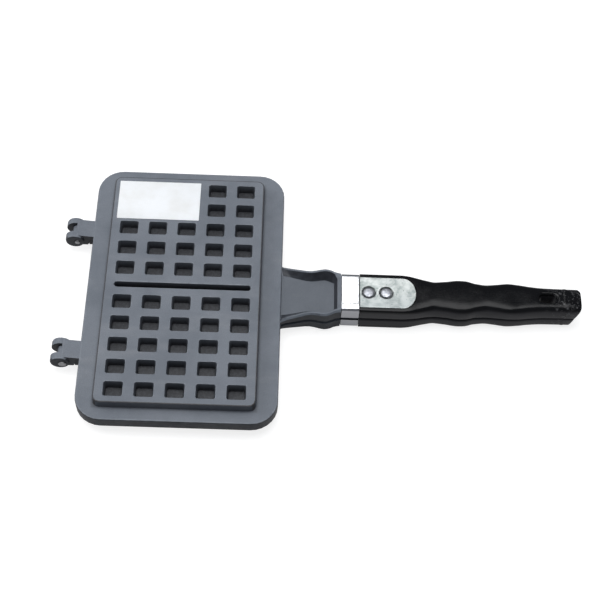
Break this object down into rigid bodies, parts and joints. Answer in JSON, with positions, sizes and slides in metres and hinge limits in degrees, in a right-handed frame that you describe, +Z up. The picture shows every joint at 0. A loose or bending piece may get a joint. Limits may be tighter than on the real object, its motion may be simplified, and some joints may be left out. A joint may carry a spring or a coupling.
{
  "type": "stovetop waffle iron",
  "caption": "Closed stovetop waffle iron: hinged cast halves with square recesses outside, and a two-part black grip with finger waves, bright ferrules and a hanging hole.",
  "frame": {"origin": "centre of the closed iron's bounding box, on the plane that it lies on", "axes": "+X along the iron from the hinge to the handle's end, +Y across the plates, +Z up"},
  "size_m": [0.3832, 0.2136, 0.0245],
  "materials": {
    "cast_metal": "cast, dark grey matt coating, worn bright on edges",
    "ferrule_chrome": "polished, lightly worn",
    "cover_metal": "brushed, stained",
    "rivet_metal": "dull",
    "grip_black": "moulded phenolic, polished",
    "steel": "dull",
    "insert_brass": "turned",
    "label_paper": "matt paper, blank"
  },
  "bodies": {
    "lower_half": {"lower_plate": "cast_metal", "lower_ferrule": "ferrule_chrome", "lower_grip": "grip_black", "lower_cover_plate": "cover_metal", "lower_rivet_inner": "rivet_metal", "lower_rivet_outer": "rivet_metal", "lower_washer_inner": "steel", "lower_washer_outer": "steel", "lower_grip_screw": "steel", "lower_grip_insert": "insert_brass"},
    "upper_half": {"upper_plate": "cast_metal", "upper_ferrule": "ferrule_chrome", "upper_grip": "grip_black", "upper_cover_plate": "cover_metal", "upper_rivet_inner": "rivet_metal", "upper_rivet_outer": "rivet_metal", "upper_washer_inner": "steel", "upper_washer_outer": "steel", "upper_grip_screw": "steel", "upper_grip_insert": "insert_brass", "hinge_pin_rear": "steel", "hinge_pin_front": "steel", "paper_label": "label_paper"}
  },
  "joints": [
    {"name": "lid_hinge", "type": "hinge", "parent": "lower_half", "child": "upper_half", "pos_m": [-0.18255, 0, 0.012], "axis": [0, -1, 0], "range_deg": [0, 180]}
  ]
}
